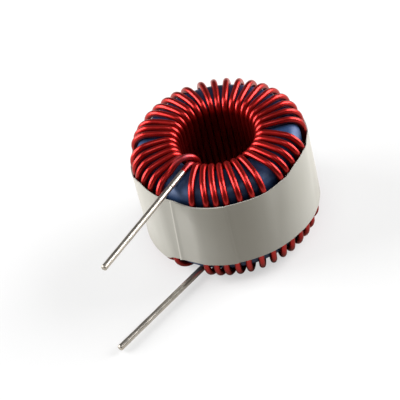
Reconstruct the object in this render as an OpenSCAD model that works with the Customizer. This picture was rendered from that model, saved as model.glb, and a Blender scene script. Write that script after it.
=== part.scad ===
// Toroidal inductor: one layer of enamelled wire on a coated ring core, with tape round the rim.
// The wire's two tinned ends leave on the same side, one above the ring and one below it.
// Millimetres. Z is the ring's axis, Z = 0 is the plane it lies on, and the leads point along -Y.

/* [Core] */
// Outside diameter of the coated core
core_od = 27; // [22:0.5:40]
// Bore of the coated core
core_id = 14.5; // [11:0.5:20]
// Height of the core along its axis
core_h = 18; // [10:0.5:30]
// Radius of the core's outer edges
core_edge_r = 2.1; // [0.8:0.1:3.5]
// Radius of the edges of the core's bore
bore_edge_r = 0.87; // [0.3:0.01:1.5]

/* [Wire] */
// Diameter of the enamelled wire
wire_d = 1.07; // [0.6:0.01:1.6]
// Space between the wire and the core
wrap_gap = 0.03; // [0.02:0.01:0.2]
// Smallest space between two wires in the bore
leg_gap = 0.03; // [0.02:0.01:0.2]
// How much tighter the wire bends than the core's edges do, as a share of their radius
edge_ease = 0.14; // [0.13:0.01:0.3]
// How far a run arches away from the face it crosses
run_bow = 0.35; // [0.05:0.05:0.6]

/* [Winding] */
// Places of some turns round the rim, with the turns counted from 1 to 37: the turn,
// then its angle in degrees at the top of the rim and at its bottom
rim_places = [
    [0, 277, 278],
    [1, 286, 285],
    [2, 295.5, 292],
    [3, 302, 298.5],
    [4, 308.5, 306],
    [5, 317.5, 313.5],
    [7, 334, 331],
    [8, 349, 339],
    [9, 355.5, 346.5],
    [10, 363, 355],
    [12, 379, 371],
    [13, 400, 382],
    [16, 428.5, 416],
    [23, 495, 487],
    [24, 507, 498],
    [28, 540, 534],
    [29, 551, 543.5],
    [31, 564, 558],
    [32, 579, 570],
    [37, 620, 621],
    [38, 628, 629]];
// Angle that the first layer of wires takes up at the top of the bore
top_span = 333; // [325:1:335]
// How far those wires drift from even spacing
top_drift = 2.5; // [0:0.5:4]
// Angle of the first wire at the bottom of the bore
bottom_from = 282; // [276:1:288]
// How far past the upper lead the last turn leaves the bore, to cross over it
cross_by = 5; // [2:0.5:8]
// How far the last turn swings aside once it is over the upper lead
cross_swing = 9.6; // [0:0.2:12]

/* [Leads] */
// Diameter of the tinned wire ends
lead_d = 1.05; // [0.6:0.01:1.6]
// Length of the upper lead beyond the winding's rim
upper_free = 18.1; // [5:0.1:40]
// Length of red enamel left on the straight of the upper lead
upper_enamel = 1.5; // [0.2:0.1:3]
// Sideways place of the upper lead
upper_x = -0.2; // [-1.5:0.05:1.5]
// Length of the lower lead beyond the winding's rim
lower_free = 18.8; // [5:0.1:40]
// How far inside the rim the lower lead's enamel ends
lower_inset = 1; // [0.2:0.1:3]
// Angle round the axis at which the lower lead leaves the winding
lower_at = 275.4; // [272:0.2:280]
// How far the lower lead turns aside from the upper one
lower_splay = 8; // [0:0.2:15]
// Distance from the upper lead's root to the nick in it
nick_at = 3.8; // [2:0.1:10]
// Length of the nick along the lead
nick_w = 0.3; // [0.1:0.05:0.6]
// Depth of the nick
nick_depth = 0.06; // [0.02:0.01:0.15]
// Chamfer at the cut ends
tip_chamfer = 0.15; // [0.05:0.05:0.3]

/* [Tape] */
// Width of the tape
tape_w = 13.4; // [6:0.1:20]
// Thickness of the tape
tape_t = 0.12; // [0.05:0.01:0.4]
// Space between the tape and the wire
tape_gap = 0.03; // [0.02:0.01:0.2]
// Height of the tape's middle above the core's middle
tape_lift = 0.2; // [-2:0.1:2]
// How far the tape leans out of level
tape_tilt = 3.9; // [0:0.1:6]
// Angle round the axis at which the leaning tape is highest
tape_high_at = 313; // [0:1:360]
// Angle of the tape's free end
tape_end_at = 269; // [265:1:280]
// Angle over which the tape's two ends overlap
tape_overlap = 37; // [10:1:60]

/* [Hidden] */
$fn = 64;
wire_sides = 8;
bend_steps = 3;
wire_r = wire_d / 2;
leg_r = core_id / 2 - wrap_gap - wire_r;
rim_r = core_od / 2 + wrap_gap + wire_r;
rim_bend_r = core_edge_r * (1 - edge_ease) + wrap_gap + wire_r;
bore_bend_r = bore_edge_r * (1 - edge_ease) + wrap_gap + wire_r;
layer = wire_d + leg_gap;
core_z = run_bow + wire_d + wrap_gap;
low_z = core_z - wrap_gap - wire_r;
high_z = core_z + core_h + wrap_gap + wire_r;
mid_r = (leg_r + bore_bend_r + rim_r - rim_bend_r) / 2;
// As many wires as fit side by side round the bore; the last of them is the upper lead's
legs = floor(180 / asin(layer / (2 * leg_r)));
turns = legs - 1;
leg_pitch = 360 / legs;
// The first wire stands beside the upper lead, which leaves last
top_from = lead_at(leg_r) - 360 + leg_pitch;
counted = rim_places[len(rim_places) - 2][0];
lower_root_r = rim_r - lower_inset;
lower_dir = [-sin(lower_splay), -cos(lower_splay), 0];
upper_root_r = leg_r + bore_bend_r + upper_enamel;
upper_root_y = -sqrt(upper_root_r * upper_root_r - upper_x * upper_x);
tape_z = core_z + core_h / 2 + tape_lift;
tape_in_r = rim_r + wire_r + tape_gap;
tape_reach = 2 * (tape_in_r + 2 * tape_t);
// Nothing stands under the tape between the last turn on the rim and the first one
flat_from = max(rim_at(turns - 1), rim_low_at(turns - 1));
flat_to = min(rim_at(0), rim_low_at(0)) + 360;
tape_step = 3;
// The outer layer of tape comes down off the inner end over this angle
tape_ramp = 2;

function unit(v) = v / norm(v);
function polar(r, angle, z) = [r * cos(angle), r * sin(angle), z];

// Place of a turn round the rim, at its top and at its bottom, between the places that are given
function rim_count(turn) = (turn + 0.5) * counted / turns + 0.5;
function rim_at(turn) = lookup(rim_count(turn), [for (p = rim_places) [p[0], p[1]]]);
function rim_low_at(turn) = lookup(rim_count(turn), [for (p = rim_places) [p[0], p[2]]]);

// Place of a wire in the bore, at its top and at its bottom
function crosses(leg) = leg == turns - 1;
function lead_at(r) = 630 + asin(upper_x / r);
function first_layer_at(leg) =
    top_from + top_span * leg / (turns - 2) + top_drift * sin(180 * leg / (turns - 2));
function top_at(leg) = crosses(leg) ? lead_at(leg_r) + cross_by : first_layer_at(leg);
function bottom_at(leg) = bottom_from + leg_pitch * leg;

// A bend or a run of the wire, as points of radius, height and the angle facing away from the core
function bend(r, z, radius, from, to) =
    [for (i = [0:bend_steps])
        let (a = from + (to - from) * i / bend_steps)
        [r + radius * cos(a), z + radius * sin(a), a]];
function top_inner(over) =
    bend(leg_r + bore_bend_r, high_z - bore_bend_r, bore_bend_r + over, 180, 90);
function top_outer() = bend(rim_r - rim_bend_r, high_z - rim_bend_r, rim_bend_r, 90, 0);
function low_outer() = bend(rim_r - rim_bend_r, low_z + rim_bend_r, rim_bend_r, 0, -90);
function low_inner(over) =
    bend(leg_r - over + bore_bend_r, low_z + bore_bend_r, bore_bend_r, -90, -180);
function top_run(over) =
    concat(top_inner(over), [[mid_r, high_z + run_bow + over / 2, 90]], top_outer());
function low_run(over) = concat(low_outer(), [[mid_r, low_z - run_bow, -90]], low_inner(over));

// A point of the wire: its place and the direction facing away from the core
function wire_point(p, angle) =
    [polar(p[0], angle, p[1]), [cos(p[2]) * cos(angle), cos(p[2]) * sin(angle), sin(p[2])]];
function over_of(leg) = crosses(leg) ? layer : 0;
function swing(leg, f) = crosses(leg) ? cross_swing * sin(180 * pow(f, 0.75)) : 0;
function top_half(leg) =
    let (run = top_run(over_of(leg)), first = run[0][0])
    [for (p = run)
        let (f = max(0, min(1, (p[0] - first) / (rim_r - first))))
        wire_point(p, top_at(leg) + (rim_at(leg) - top_at(leg)) * f - swing(leg, f))];
function down_rim(leg) =
    let (top = high_z - rim_bend_r, low = low_z + rim_bend_r)
    [for (f = [1 / 3, 2 / 3])
        wire_point([rim_r, top + (low - top) * f, 0], rim_at(leg) + (rim_low_at(leg) - rim_at(leg)) * f)];
function low_half(leg) =
    [for (p = low_run(over_of(leg + 1)))
        let (f = min(1, (rim_r - p[0]) / (rim_r - leg_r)))
        wire_point(p, rim_low_at(leg) + (bottom_at(leg + 1) - rim_low_at(leg)) * f)];
function lead_in() =
    [for (p = concat([for (r = [lower_root_r, rim_r - rim_bend_r, mid_r]) [r, low_z, -90]], low_inner(0)))
        let (f = (lower_root_r - p[0]) / (lower_root_r - leg_r))
        wire_point(p, lower_at + (bottom_at(0) - lower_at) * sin(90 * f))];
function lead_out() =
    [for (p = concat(top_inner(0), [[upper_root_r, high_z, 90]])) wire_point(p, lead_at(p[0]))];
function wound() = [for (leg = [0:turns - 1]) each concat(top_half(leg), down_rim(leg), low_half(leg))];

// One closed sweep of a round wire along the path, as rings of points joined by quads
module wire(path, start_dir, end_dir) {
    last = len(path) - 1;
    rings = [for (i = [0:last])
        let (t = i == 0 ? start_dir : i == last ? end_dir : unit(path[i + 1][0] - path[i - 1][0]))
        let (away = unit(path[i][1] - t * (path[i][1] * t)), side = cross(t, away))
        for (s = [0:wire_sides - 1])
            path[i][0] + wire_r * (away * cos(360 * s / wire_sides) + side * sin(360 * s / wire_sides))];
    walls = [for (i = [0:last - 1])
        for (s = [0:wire_sides - 1])
            let (a = i * wire_sides + s, b = i * wire_sides + (s + 1) % wire_sides)
            each [[a, a + wire_sides, b], [b, a + wire_sides, b + wire_sides]]];
    start_face = [for (s = [0:wire_sides - 1]) s];
    end_face = [for (s = [wire_sides - 1:-1:0]) last * wire_sides + s];
    polyhedron(points = rings, faces = concat([start_face], walls, [end_face]));
}

// A tinned wire end, from its root at the origin along Z
module lead(length) {
    cylinder(d = lead_d, h = length - tip_chamfer);
    translate([0, 0, length - tip_chamfer])
        cylinder(d1 = lead_d, d2 = lead_d - 2 * tip_chamfer, h = tip_chamfer);
}

// Radius of the taut tape at an angle: round over the turns, and flat where none stands under it
function tape_r(angle) =
    angle < flat_from ? tape_in_r :
    tape_in_r * cos((flat_to - flat_from) / 2) / cos(angle - (flat_from + flat_to) / 2);
function tape_point(angle, layers) =
    let (r = tape_r(angle < flat_to - 360 ? angle + 360 : angle) + layers * tape_t)
    [r * cos(angle), r * sin(angle)];

// What rounding takes off a square corner at radius r, with the metal on the given side of it
module edge_cut(r, edge_r, side) {
    translate([r, 0])
        difference() {
            square(2 * edge_r, center = true);
            translate([side * edge_r, edge_r])
                circle(r = edge_r);
        }
}

// Ring core of pressed powder with a painted coat
module core() {
    color("#24406a")
        translate([0, 0, core_z])
            rotate_extrude()
                difference() {
                    translate([core_id / 2, 0])
                        square([(core_od - core_id) / 2, core_h]);
                    for (top = [0, 1])
                        translate([0, top * core_h])
                            mirror([0, top]) {
                                edge_cut(core_id / 2, bore_edge_r, 1);
                                edge_cut(core_od / 2, core_edge_r, -1);
                            }
                }
}

// The wire as far as its enamel goes: every turn, and the root of each lead
module winding() {
    color("#b51a18")
        wire(concat(lead_in(), wound(), lead_out()), -lower_dir, [0, -1, 0]);
}

// Length of wire with flat sides, as the winding has
module flat_sided(d, h) {
    linear_extrude(height = h)
        polygon([for (s = [0:wire_sides - 1])
            d / 2 * [cos(360 * s / wire_sides), sin(360 * s / wire_sides)]]);
}

// Tinned end of the wire that leaves over the top, with flat sides as far as its nick and round beyond it
module upper_lead() {
    color("#c8c8c4")
        translate([upper_x, upper_root_y, high_z])
            rotate([90, 0, 0]) {
                flat_sided(lead_d, nick_at);
                translate([0, 0, nick_at])
                    flat_sided(lead_d - 2 * nick_depth, nick_w);
                translate([0, 0, nick_at + nick_w])
                    lead(rim_r + upper_free + upper_root_y - nick_at - nick_w);
            }
}

// Tinned end of the wire that leaves underneath
module lower_lead() {
    color("#c8c8c4")
        translate(polar(lower_root_r, lower_at, low_z))
            rotate([90, 0, -lower_splay])
                lead(lower_inset + lower_free);
}

// Film tape pulled tight round the turns, with its free end lapped over its beginning
module tape_band() {
    inner_end = tape_end_at + tape_overlap;
    start = flat_to - 360;
    rim = concat([for (a = [start:tape_step:flat_from - tape_step / 2]) a], [flat_from]);
    lapped = concat([tape_end_at], [for (a = rim) if (a > tape_end_at && a < inner_end) a], [inner_end]);
    single = concat([for (a = rim) if (a >= inner_end + 2 * tape_ramp) a], [tape_end_at + 360]);
    color("#dcdcd6")
        translate([0, 0, tape_z])
            intersection() {
                linear_extrude(height = 2 * tape_w, center = true)
                    difference() {
                        polygon(concat(
                            [for (a = lapped) tape_point(a, 2)],
                            [tape_point(inner_end + tape_ramp, 1)],
                            [for (a = single) tape_point(a, 1)]));
                        polygon([for (a = rim) tape_point(a, 0)]);
                    }
                rotate([0, -tape_tilt, tape_high_at])
                    cube([2 * tape_reach, 2 * tape_reach, tape_w], center = true);
            }
}

core();
winding();
upper_lead();
lower_lead();
tape_band();
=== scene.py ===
import bpy
import math
import random
from mathutils import Matrix, Vector


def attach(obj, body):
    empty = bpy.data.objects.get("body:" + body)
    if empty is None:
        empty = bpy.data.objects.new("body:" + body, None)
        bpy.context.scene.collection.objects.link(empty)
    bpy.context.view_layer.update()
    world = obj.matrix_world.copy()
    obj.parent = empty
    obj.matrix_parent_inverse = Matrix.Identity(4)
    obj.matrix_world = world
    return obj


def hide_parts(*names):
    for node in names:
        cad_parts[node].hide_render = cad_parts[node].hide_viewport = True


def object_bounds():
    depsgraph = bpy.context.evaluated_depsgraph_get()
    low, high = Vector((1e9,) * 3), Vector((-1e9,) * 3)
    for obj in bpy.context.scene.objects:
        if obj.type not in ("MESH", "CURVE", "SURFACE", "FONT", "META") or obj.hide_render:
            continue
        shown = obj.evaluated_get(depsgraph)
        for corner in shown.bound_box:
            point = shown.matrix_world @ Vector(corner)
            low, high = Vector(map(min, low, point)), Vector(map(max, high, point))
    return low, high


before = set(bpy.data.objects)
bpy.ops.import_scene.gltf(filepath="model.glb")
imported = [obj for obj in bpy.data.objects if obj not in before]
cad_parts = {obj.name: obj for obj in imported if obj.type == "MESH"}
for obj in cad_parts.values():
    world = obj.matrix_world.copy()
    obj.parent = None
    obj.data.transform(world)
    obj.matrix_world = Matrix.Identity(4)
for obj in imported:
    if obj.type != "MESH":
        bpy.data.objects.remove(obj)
cad_low, cad_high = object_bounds()
mm = 0.001


# Camera
# A long lens well back from the part, looking down at its front right.
# It is rolled so that the ring leans to the left in the picture.
view_turn = math.radians(43.24)
view_rise = math.radians(44.3)
view_roll = math.radians(14.37)
view_distance = 396.9 * mm
view_point = Vector((0, 0, 11.09 * mm))
view_left = 4.10 * mm
view_down = 4.46 * mm
view_lens = 217.7
view_sensor = 36

level_right = Vector((math.cos(view_turn), math.sin(view_turn), 0))
level_away = Vector((-math.sin(view_turn), math.cos(view_turn), 0))
level_up = level_away * math.sin(view_rise) + Vector((0, 0, math.cos(view_rise)))
camera_back = -level_away * math.cos(view_rise) + Vector((0, 0, math.sin(view_rise)))
camera_right = level_right * math.cos(view_roll) - level_up * math.sin(view_roll)
camera_up = level_up * math.cos(view_roll) + level_right * math.sin(view_roll)
camera_place = view_point + camera_back * view_distance
camera_place -= camera_right * view_left + camera_up * view_down

bpy.ops.object.select_all(action="DESELECT")
bpy.ops.object.camera_add()
camera = bpy.context.object
camera.name = "camera"
camera_axes = Matrix((camera_right, camera_up, camera_back)).transposed().to_4x4()
camera.matrix_world = Matrix.Translation(camera_place) @ camera_axes
camera.data.lens = view_lens
camera.data.sensor_width = view_sensor
bpy.context.scene.camera = camera
bpy.context.scene.view_settings.view_transform = "Standard"


# Core
# A ring pressed from magnetic powder, with a dark blue epoxy coat sprayed all over it.
# The coat is satin and has the faint orange peel of a sprayed finish.
coat_shadow = (0.008, 0.031, 0.094, 1)
coat_light = (0.018, 0.055, 0.160, 1)
coat_peel = 0.010 * mm


def mottle_group():
    """Soft uneven patches over a surface, between a low and a high value."""
    group = bpy.data.node_groups.new("mottle", "ShaderNodeTree")
    for name, value in (("Scale", 500.0), ("Detail", 4.0), ("Low", 0.0), ("High", 1.0)):
        socket = group.interface.new_socket(name, in_out="INPUT", socket_type="NodeSocketFloat")
        socket.default_value = value
    group.interface.new_socket("Value", in_out="OUTPUT", socket_type="NodeSocketFloat")
    into = group.nodes.new("NodeGroupInput")
    out = group.nodes.new("NodeGroupOutput")
    place = group.nodes.new("ShaderNodeTexCoord")
    noise = group.nodes.new("ShaderNodeTexNoise")
    spread = group.nodes.new("ShaderNodeMapRange")
    spread.inputs["From Min"].default_value = 0.3
    spread.inputs["From Max"].default_value = 0.7
    spread.clamp = False
    group.links.new(place.outputs["Object"], noise.inputs["Vector"])
    group.links.new(into.outputs["Scale"], noise.inputs["Scale"])
    group.links.new(into.outputs["Detail"], noise.inputs["Detail"])
    group.links.new(noise.outputs["Fac"], spread.inputs["Value"])
    group.links.new(into.outputs["Low"], spread.inputs["To Min"])
    group.links.new(into.outputs["High"], spread.inputs["To Max"])
    group.links.new(spread.outputs["Result"], out.inputs["Value"])
    return group


mottle = mottle_group()


def finish_material(name):
    """A new material with its nodes, its links and its Principled shader."""
    material = bpy.data.materials.new(name)
    material.use_nodes = True
    nodes = material.node_tree.nodes
    shader = next(n for n in nodes if n.type == "BSDF_PRINCIPLED")
    return material, nodes, material.node_tree.links, shader


def mottled(nodes, scale, low, high, detail=4):
    """A mottle in a material, with its own values."""
    node = nodes.new("ShaderNodeGroup")
    node.node_tree = mottle
    node.inputs["Scale"].default_value = scale
    node.inputs["Detail"].default_value = detail
    node.inputs["Low"].default_value = low
    node.inputs["High"].default_value = high
    return node.outputs["Value"]


def mixed_colour(nodes, links, share, first, second):
    """A colour between two, by a share that changes over the surface."""
    ramp = nodes.new("ShaderNodeValToRGB")
    ramp.color_ramp.elements[0].color = first
    ramp.color_ramp.elements[1].color = second
    links.new(share, ramp.inputs["Fac"])
    return ramp.outputs["Color"]


def uneven(nodes, links, shader, height, depth):
    """Bumps of a given depth on a shader's surface."""
    bump = nodes.new("ShaderNodeBump")
    bump.inputs["Strength"].default_value = 1.0
    bump.inputs["Distance"].default_value = depth
    links.new(height, bump.inputs["Height"])
    links.new(bump.outputs["Normal"], shader.inputs["Normal"])


core_coat, nodes, links, shader = finish_material("core_coat")
coat_share = mottled(nodes, scale=420, low=0, high=1)
links.new(mixed_colour(nodes, links, coat_share, coat_shadow, coat_light), shader.inputs["Base Color"])
links.new(mottled(nodes, scale=900, low=0.48, high=0.58), shader.inputs["Roughness"])
uneven(nodes, links, shader, mottled(nodes, scale=1600, low=0, high=1), coat_peel)
shader.inputs["Metallic"].default_value = 0.3
shader.inputs["Coat Weight"].default_value = 0.3
shader.inputs["Coat Roughness"].default_value = 0.45

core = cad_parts["core"]
core.material_slots[0].material = core_coat


# Winding
# One length of red enamelled copper wire, wound by hand through the ring in a single layer.
# Its turns touch in the bore and fan out over the top and bottom to bunches on the rim.
wire_r = 0.535
wire_weld = 0.0005 * mm
leg_r = 6.685
rim_r = 14.065
rim_bend_r = 2.65
bore_bend_r = 1.435
layer = 1.10
low_z = 0.885
high_z = 20.015
run_bow = 0.35
bow_shares = (0.6, 1)
legs = 38
turns = legs - 1
# Places of some turns round the rim: the turn, then its angle at the top and at the bottom
rim_places = (
    (1, 286, 285),
    (2, 295.5, 292),
    (3, 302, 298.5),
    (4, 308.5, 306),
    (5, 317.5, 313.5),
    (7, 334, 331),
    (8, 349, 339),
    (9, 355.5, 346.5),
    (10, 363, 355),
    (12, 379, 371),
    (13, 400, 382),
    (16, 428.5, 416),
    (23, 495, 487),
    (24, 507, 498),
    (28, 540, 534),
    (29, 551, 543.5),
    (31, 564, 558),
    (32, 579, 570),
    (37, 620, 621),
)
top_span = 333
top_drift = 2.5
bottom_from = 282
cross_by = 0.5
cross_swing = 5.5
cross_bow = 0.05
# How the last turn's swing and the bottom runs' turning are spread over their way
cross_curve = 0.75
low_curve = 1.5
# The upper lead points along -Y, a whole turn after the first leg
lead_turn = 270 + 360
upper_x = -0.2
upper_root_y = -9.496
lower_at = 276.74
lower_root = Vector((1.3965, -11.819, low_z))
enamel_dark = (0.29, 0.007, 0.006, 1)
enamel_light = (0.40, 0.014, 0.012, 1)
enamel_worn = (0.24, 0.05, 0.065, 1)
enamel_waves = 0.002 * mm
# The place on the last turn where its enamel is rubbed dull
worn_spot = (-1.0 * mm, -7.6 * mm, 21.6 * mm)
worn_middle = 0.6 * mm
worn_reach = 2.6 * mm
worn_rough = 0.22


def rim_at(turn, down=0):
    """The angle of a turn on the rim, at a share of the way down it."""
    for (first, *first_angles), (last, *last_angles) in zip(rim_places, rim_places[1:]):
        if turn + 1 <= last:
            f = (turn + 1 - first) / (last - first)
            top, low = [x + (y - x) * f for x, y in zip(first_angles, last_angles)]
            return top + (low - top) * down


def lead_at(r):
    """The angle of the upper lead at a distance from the axis."""
    return lead_turn + math.degrees(math.asin(upper_x / r))


leg_pitch = 360 / legs
top_from = lead_at(leg_r) - 360 + leg_pitch


def top_at(leg):
    """The angle of a turn at the top of the bore."""
    if leg == turns - 1:
        return lead_at(leg_r) + cross_by
    along = leg / (turns - 2)
    return top_from + top_span * along + top_drift * math.sin(math.pi * along)


def bottom_at(leg):
    """The angle of a turn at the bottom of the bore."""
    return bottom_from + leg_pitch * leg


def bend(r, z, radius, start, end, steps=12):
    """A round bend in a turn's outline, as distances from the axis and heights."""
    angles = [math.radians(start + (end - start) * i / steps) for i in range(steps + 1)]
    return [(r + radius * math.cos(a), z + radius * math.sin(a)) for a in angles]


def run(r_first, r_last, z_first, z_last, steps=10):
    """A run across the top or the bottom."""
    places = []
    for i in range(1, steps):
        f = i / steps
        rise = f * f * (3 - 2 * f)
        places.append((r_first + (r_last - r_first) * f, z_first + (z_last - z_first) * rise))
    return places


def arch(f):
    """How much of its full arch a run has at a share of its way: all of it at a third."""
    return 27 / 4 * f * (1 - f) ** 2


def placed(r, z, angle):
    """A point in metres, from millimetres off the axis, millimetres up and degrees round it."""
    a = math.radians(angle)
    return Vector((r * math.cos(a), r * math.sin(a), z)) * mm


def over_top(leg, bow):
    """A turn from the bore over the top to the rim."""
    crossing = leg == turns - 1
    over = layer if crossing else 0
    bore_edge = leg_r + bore_bend_r
    outline = bend(bore_edge, high_z - bore_bend_r, bore_bend_r + over, 180, 90)
    outline += run(bore_edge, rim_r - rim_bend_r, high_z + over, high_z)
    outline += bend(rim_r - rim_bend_r, high_z - rim_bend_r, rim_bend_r, 90, 0)
    first_r = outline[0][0]
    route = []
    for r, z in outline:
        f = min(1, max(0, (r - first_r) / (rim_r - first_r)))
        swing = cross_swing * math.sin(math.pi * f ** cross_curve) if crossing else 0
        angle = top_at(leg) + (rim_at(leg) - top_at(leg)) * f - swing
        route.append(placed(r, z + bow * arch(f), angle))
    return route


def down_rim(leg, steps=6):
    """A turn on its way down the rim, where it leans a little to one side."""
    top = high_z - rim_bend_r
    low = low_z + rim_bend_r
    return [placed(rim_r, top + (low - top) * i / steps, rim_at(leg, i / steps)) for i in range(1, steps)]


def under_bottom(leg):
    """A turn from the rim under the bottom to the next leg in the bore."""
    over = layer if leg + 1 == turns - 1 else 0
    bore_edge = leg_r - over + bore_bend_r
    outline = bend(rim_r - rim_bend_r, low_z + rim_bend_r, rim_bend_r, 0, -90)
    outline += run(rim_r - rim_bend_r, bore_edge, low_z, low_z)
    outline += bend(bore_edge, low_z + bore_bend_r, bore_bend_r, -90, -180)
    route = []
    for r, z in outline:
        f = min(1, (rim_r - r) / (rim_r - leg_r))
        angle = rim_at(leg, 1) + (bottom_at(leg + 1) - rim_at(leg, 1)) * f ** low_curve
        route.append(placed(r, z - run_bow * arch(f), angle))
    return route


def drawn_wire(name, route, thickness, radius):
    """A round wire along a route, made from a path and turned into a mesh."""
    bpy.ops.object.select_all(action="DESELECT")
    bpy.ops.curve.primitive_nurbs_path_add()
    wire = bpy.context.object
    wire.name = name
    path = wire.data
    path.splines.clear()
    line = path.splines.new("POLY")
    line.points.add(len(route) - 1)
    for point, place, thick in zip(line.points, route, thickness):
        point.co = (place.x, place.y, place.z, 1)
        point.radius = thick
    path.dimensions = "3D"
    path.bevel_depth = radius
    path.bevel_resolution = 6
    path.use_fill_caps = True
    bpy.ops.object.convert(target="MESH")
    wire.data.name = name
    bpy.ops.object.mode_set(mode="EDIT")
    bpy.ops.mesh.select_all(action="SELECT")
    bpy.ops.mesh.remove_doubles(threshold=wire_weld)
    bpy.ops.mesh.normals_make_consistent(inside=False)
    bpy.ops.object.mode_set(mode="OBJECT")
    bpy.ops.object.shade_smooth_by_angle(angle=math.radians(50))
    return wire


def far_from(nodes, links, spot):
    """The distance of a surface from a spot."""
    place = nodes.new("ShaderNodeTexCoord")
    away = nodes.new("ShaderNodeVectorMath")
    away.operation = "DISTANCE"
    away.inputs[1].default_value = spot
    links.new(place.outputs["Object"], away.inputs[0])
    return away.outputs["Value"]


def ramped(nodes, links, value, first, last):
    """A rise from 0 to 1 while a value goes from the first to the last."""
    ramp = nodes.new("ShaderNodeMapRange")
    ramp.inputs["From Min"].default_value = first
    ramp.inputs["From Max"].default_value = last
    links.new(value, ramp.inputs["Value"])
    return ramp.outputs["Result"]


def figured(nodes, links, operation, *values):
    """The result of a sum in a material, from sockets and plain numbers."""
    node = nodes.new("ShaderNodeMath")
    node.operation = operation
    for slot, value in zip(node.inputs, values):
        if isinstance(value, (int, float)):
            slot.default_value = value
        else:
            links.new(value, slot)
    return node.outputs["Value"]


def blended(nodes, links, share, first, second):
    """A colour that goes over to a fixed second colour by a share."""
    mix = nodes.new("ShaderNodeMix")
    mix.data_type = "RGBA"
    mix_a, mix_b = [socket for socket in mix.inputs if socket.type == "RGBA"]
    mix_b.default_value = second
    links.new(share, mix.inputs["Factor"])
    links.new(first, mix_a)
    return next(socket for socket in mix.outputs if socket.type == "RGBA")


hand = random.Random(7)
wire_route = []
lower_root_r = math.hypot(lower_root.x, lower_root.y)
lead_in = [(lower_root_r + (leg_r + bore_bend_r - lower_root_r) * i / 10, low_z) for i in range(10)]
lead_in += bend(leg_r + bore_bend_r, low_z + bore_bend_r, bore_bend_r, -90, -180)
for r, z in lead_in:
    f = (lower_root_r - r) / (lower_root_r - leg_r)
    wire_route.append(placed(r, z, lower_at + (bottom_at(0) - lower_at) * math.sin(math.pi / 2 * f)))
for leg in range(turns):
    bow = run_bow * hand.uniform(*bow_shares)
    wire_route += over_top(leg, cross_bow if leg == turns - 1 else bow)
    wire_route += down_rim(leg)
    wire_route += under_bottom(leg)
lead_out = bend(leg_r + bore_bend_r, high_z - bore_bend_r, bore_bend_r, 180, 90)
for r, z in lead_out:
    wire_route.append(placed(r, z, lead_at(r)))
wire_route.append(Vector((upper_x, upper_root_y, high_z)) * mm)

wire_enamel, nodes, links, shader = finish_material("wire_enamel")
enamel_share = mottled(nodes, scale=260, low=0, high=1)
enamel = mixed_colour(nodes, links, enamel_share, enamel_dark, enamel_light)
rubbed = ramped(nodes, links, far_from(nodes, links, worn_spot), worn_reach, worn_middle)
worn = figured(nodes, links, "MULTIPLY", rubbed, mottled(nodes, scale=1500, low=0.3, high=1))
links.new(blended(nodes, links, worn, enamel, enamel_worn), shader.inputs["Base Color"])
smooth = mottled(nodes, scale=500, low=0.31, high=0.37)
links.new(figured(nodes, links, "MULTIPLY_ADD", worn, worn_rough, smooth), shader.inputs["Roughness"])
uneven(nodes, links, shader, mottled(nodes, scale=300, low=0, high=1), enamel_waves)
shader.inputs["Metallic"].default_value = 0.9
shader.inputs["Coat Weight"].default_value = 0.14
shader.inputs["Coat Roughness"].default_value = 0.12

winding = drawn_wire("wound_wire", wire_route, [1] * len(wire_route), wire_r * mm)
winding.data.materials.append(wire_enamel)
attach(winding, "root")
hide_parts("winding")


# Leads
# The two ends of the same wire, stripped of their enamel and dipped in solder.
# The tinning is a little uneven, the upper lead has a nick from stripping, and both ends are cut blunt.
lead_r = 0.525
upper_length = 22.669
lower_length = 21
lower_splay = math.radians(8)
nick_at = 3.8
nick_w = 0.3
nick_depth = 0.06
tip_length = 0.2
tip_taper = 0.30
tip_stations = (0.22, 0.10, 0.03, 0)
solder_steps = 90
# The uneven thickness of the solder: waves with their lengths, their starts and their depths
wave_count = 5
wave_turn = 6.283
wave_lengths = (1.5, 6)
wave_starts = (0, 6.28)
wave_depths = (0.004, 0.009)
solder_bright = (0.48, 0.445, 0.40, 1)
solder_dull = (0.375, 0.345, 0.305, 1)
solder_waves = 0.012 * mm


def tinned_lead(name, root, direction, length, nick, seed):
    """A straight tinned end, with its solder thicker in some places than in others."""
    hand = random.Random(seed)
    stations = [length * i / solder_steps for i in range(solder_steps)]
    stations += [length - back for back in tip_stations]
    if nick:
        stations += [nick_at - nick_w, nick_at - nick_w / 3, nick_at + nick_w / 3, nick_at + nick_w]
    stations = sorted(set(stations))
    waves = []
    for i in range(wave_count):
        waves.append([hand.uniform(*span) for span in (wave_lengths, wave_starts, wave_depths)])
    route = []
    thickness = []
    for s in stations:
        thick = 1 + sum(depth * math.sin(wave_turn * s / wave + start) for wave, start, depth in waves)
        if nick and abs(s - nick_at) < nick_w * 0.6:
            thick -= nick_depth / lead_r
        end = length - s
        if end < tip_length:
            thick *= 1 - tip_taper * (1 - end / tip_length) ** 2
        route.append((root + direction * s) * mm)
        thickness.append(thick)
    return drawn_wire(name, route, thickness, lead_r * mm)


tinned_wire, nodes, links, shader = finish_material("tinned_wire")
solder_share = mottled(nodes, scale=700, low=0, high=1)
links.new(mixed_colour(nodes, links, solder_share, solder_dull, solder_bright), shader.inputs["Base Color"])
links.new(mottled(nodes, scale=600, low=0.28, high=0.38), shader.inputs["Roughness"])
uneven(nodes, links, shader, mottled(nodes, scale=400, low=0, high=1, detail=1), solder_waves)
shader.inputs["Metallic"].default_value = 0.95

upper_root = Vector((upper_x, upper_root_y, high_z))
upper_lead = tinned_lead("upper_tinned_lead", upper_root, Vector((0, -1, 0)), upper_length, True, 3)
upper_lead.data.materials.append(tinned_wire)
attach(upper_lead, "root")
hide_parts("upper_lead")

lower_direction = Vector((-math.sin(lower_splay), -math.cos(lower_splay), 0))
lower_lead = tinned_lead("lower_tinned_lead", lower_root, lower_direction, lower_length, False, 5)
lower_lead.data.materials.append(tinned_wire)
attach(lower_lead, "root")
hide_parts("lower_lead")


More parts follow.
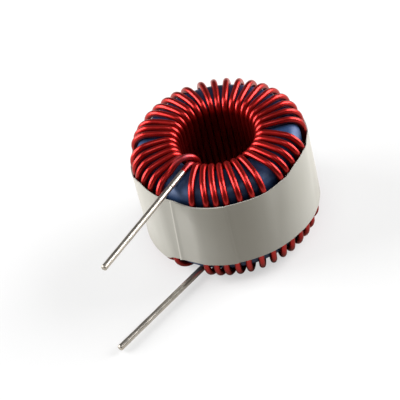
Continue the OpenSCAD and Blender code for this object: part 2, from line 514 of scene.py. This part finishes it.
# Tape
# One strip of milky film tape, pulled tight round the turns on the rim so that it lies flat between them.
# Its free end is lapped over its beginning, a little askew, and stands slightly proud.
tape_t = 0.12
tape_in_r = 14.63
tape_gap = 0.03
lap_gap = 0.01
lap_step = 2
end_lift = 0.07
lift_from = 0.9
edge_ripple = 0.03
sway_slow = 0.03
sway_quick = 0.02
tape_columns = 530
tape_rows = 12
tape_end_at = 269
tape_overlap = 37
end_slant = 3.4
# The angles to both sides over which the film's stiffness rounds off its corners at the turns
taut_over = (-3, -1.5, 0, 1.5, 3)
# The edges at some angles round the rim: the strip is wound by hand and doesn't run level
tape_edges = (
    (244, 3.0, 18.6),
    (254, 3.1, 18.45),
    (263, 4.2, 18.35),
    (272, 4.6, 18.3),
    (284, 4.8, 18.1),
    (296, 4.9, 18.1),
    (314, 5.0, 18.1),
    (336, 4.85, 17.8),
    (350, 4.8, 18.0),
    (361, 4.55, 18.5),
    (372, 4.3, 18.4),
    (384, 4.1, 17.7),
    (400, 3.9, 16.9),
    (430, 3.3, 16.4),
    (493, 2.9, 16.3),
    (570, 2.9, 16.4),
    (588, 3.0, 16.7),
    (598, 3.0, 18.0),
    (604, 3.0, 18.6),
)
film_light = (0.405, 0.400, 0.368, 1)
film_shade = (0.370, 0.365, 0.330, 1)
# The colour of the free end's cut edge: the film's whitening there, lightened further as a painted highlight
pale_cut_and_highlight = (0.60, 0.59, 0.55, 1)
# The pale cut at the free end, partly the film's whitened cut edge and partly a painted highlight along it, as
# shares of the strip's length
cut_highlight_whole = 0.0016
cut_highlight_fades = 0.0030


def soft_step(value, first, last):
    """A smooth rise from 0 to 1 between two values."""
    f = min(1, max(0, (value - first) / (last - first)))
    return f * f * (3 - 2 * f)


def tape_edge(angle):
    """The heights of the tape's lower and upper edge at an angle."""
    a = (angle - tape_edges[0][0]) % 360 + tape_edges[0][0]
    for before, after in zip(tape_edges, tape_edges[1:]):
        if a <= after[0]:
            f = soft_step(a, before[0], after[0])
            return before[1] + (after[1] - before[1]) * f, before[2] + (after[2] - before[2]) * f


def taut_r(angle, down):
    """The inside of the tape at an angle, drawn straight from one turn on the rim to the next."""
    a = angle % 360
    spots = sorted(rim_at(turn, down) % 360 for turn in range(turns))
    last = max([spot for spot in spots if spot <= a], default=spots[-1] - 360)
    following = min([spot for spot in spots if spot > a], default=spots[0] + 360)
    half = math.radians((following - last) / 2)
    off = math.radians(a - (following + last) / 2)
    return tape_in_r * math.cos(half) / math.cos(off)


bpy.ops.object.select_all(action="DESELECT")
bpy.ops.mesh.primitive_grid_add(x_subdivisions=tape_columns, y_subdivisions=tape_rows, size=1)
tape = bpy.context.object
tape.name = "lapped_tape"
tape.data.name = "lapped_tape"
for vertex in tape.data.vertices:
    along = vertex.co.x + 0.5
    across = vertex.co.y + 0.5
    angle = tape_end_at + (360 + tape_overlap) * along
    lap = soft_step(tape_end_at + tape_overlap - angle, -lap_step, 0)
    lap_run = max(0, tape_end_at + tape_overlap - angle) / tape_overlap
    angle += (across - 0.5) * end_slant * lap_run ** 2
    low, high = tape_edge(angle)
    z = low + (high - low) * across
    z += sway_slow * math.sin(math.radians(angle * 3 + 40))
    z += sway_quick * math.sin(math.radians(angle * 8))
    down = min(1, max(0, (high_z - rim_bend_r - z) / (high_z - low_z - 2 * rim_bend_r)))
    r = tape_gap + sum(taut_r(angle + beside, down) for beside in taut_over) / len(taut_over)
    r += lap * (tape_t + lap_gap) + end_lift * soft_step(lap_run, lift_from, 1)
    r += edge_ripple * abs(2 * across - 1) ** 6 * math.sin(math.radians(angle * 5)) * (1 - lap_run)
    vertex.co = placed(r, z, angle)
bpy.ops.object.modifier_add(type="SOLIDIFY")
tape.modifiers[-1].thickness = tape_t * mm
tape.modifiers[-1].offset = 1
bpy.ops.object.modifier_apply(modifier=tape.modifiers[-1].name)
bpy.ops.object.shade_smooth_by_angle(angle=math.radians(40))

film_tape, nodes, links, shader = finish_material("film_tape")
film_share = mottled(nodes, scale=110, low=0, high=1, detail=1)
film = mixed_colour(nodes, links, film_share, film_shade, film_light)
strip = nodes.new("ShaderNodeUVMap")
strip.uv_map = tape.data.uv_layers[0].name
sides = nodes.new("ShaderNodeSeparateXYZ")
links.new(strip.outputs["UV"], sides.inputs["Vector"])
# A paler band at the free end of the strip: the whitened cut edge with a painted highlight along it
cut_and_highlight_share = ramped(nodes, links, sides.outputs["X"], cut_highlight_fades, cut_highlight_whole)
links.new(blended(nodes, links, cut_and_highlight_share, film, pale_cut_and_highlight), shader.inputs["Base Color"])
links.new(mottled(nodes, scale=150, low=0.28, high=0.34, detail=1), shader.inputs["Roughness"])
shader.inputs["Coat Weight"].default_value = 0.3
shader.inputs["Coat Roughness"].default_value = 0.25

tape.data.materials.append(film_tape)
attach(tape, "root")
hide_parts("tape_band")


# Floor and light
# A wide white sheet, which bounces warm light and glows white to the camera and in reflections beside the part;
# in reflections the glow is left out under and close round the part as a painted shadow.
# Soft lamps stand low at the left and the right, and a small one hangs overhead.
# The side that faces the camera has no lamp of its own.
floor_size = 8
floor_gap = 0.02 * mm
floor_seen = (0.30, 0.30, 0.30, 1)
floor_bounce = (0.30, 0.276, 0.230, 1)
seen_glow = 0.55
mirror_glow = 0.60
mirror_from = 14 * mm
mirror_full = 19 * mm
room_dim = 0.10
room_bright = 1.0

bpy.ops.object.select_all(action="DESELECT")
bpy.ops.mesh.primitive_plane_add(size=floor_size, location=(0, 0, 0))
floor = bpy.context.object
floor.name = "floor"
for vertex in floor.data.vertices:
    vertex.co.z = cad_low.z - floor_gap
floor_white, nodes, links, shader = finish_material("floor_white")
shader.inputs["Roughness"].default_value = 0.9
shader.inputs["Specular IOR Level"].default_value = 0.1
shader.inputs["Emission Color"].default_value = (1, 1, 1, 1)
rays = nodes.new("ShaderNodeLightPath")
bounce = nodes.new("ShaderNodeRGB")
bounce.outputs["Color"].default_value = floor_bounce
sheet = blended(nodes, links, rays.outputs["Is Camera Ray"], bounce.outputs["Color"], floor_seen)
links.new(sheet, shader.inputs["Base Color"])
# The glow in reflections fades out towards the part's axis: a painted shadow of the part on the floor, as seen
# in reflections
beside = ramped(nodes, links, far_from(nodes, links, (0, 0, 0)), mirror_from, mirror_full)
mirrored = figured(nodes, links, "MULTIPLY", rays.outputs["Is Glossy Ray"], beside)
seen = figured(nodes, links, "MULTIPLY", rays.outputs["Is Camera Ray"], seen_glow)
glow = figured(nodes, links, "MULTIPLY_ADD", mirrored, mirror_glow, seen)
links.new(glow, shader.inputs["Emission Strength"])
floor.data.materials.append(floor_white)


def soft_lamp(name, turn, rise, distance, size, power):
    """A square soft lamp that faces the middle of the part."""
    a = math.radians(turn)
    e = math.radians(rise)
    back = Vector((math.cos(a) * math.cos(e), math.sin(a) * math.cos(e), math.sin(e)))
    bpy.ops.object.select_all(action="DESELECT")
    bpy.ops.object.light_add(type="AREA")
    lamp = bpy.context.object
    lamp.name = name
    lamp.data.size = size
    lamp.data.energy = power
    lamp.location = view_point + back * distance
    lamp.rotation_euler = back.to_track_quat("Z", "Y").to_euler()


soft_lamp("left_lamp", turn=210, rise=25, distance=0.6, size=0.46, power=7.0)
soft_lamp("right_lamp", turn=56, rise=25, distance=0.6, size=0.46, power=7.3)
soft_lamp("top_lamp", turn=300, rise=80, distance=0.5, size=0.20, power=0.5)

room = bpy.data.worlds.new("room")
bpy.context.scene.world = room
room.use_nodes = True
nodes = room.node_tree.nodes
links = room.node_tree.links
sky = next(n for n in nodes if n.type == "BACKGROUND")
sky.inputs["Color"].default_value = (1, 1, 1, 1)
rays = nodes.new("ShaderNodeLightPath")
strength = nodes.new("ShaderNodeMapRange")
strength.inputs["To Min"].default_value = room_dim
strength.inputs["To Max"].default_value = room_bright
links.new(rays.outputs["Is Camera Ray"], strength.inputs["Value"])
links.new(strength.outputs["Result"], sky.inputs["Strength"])
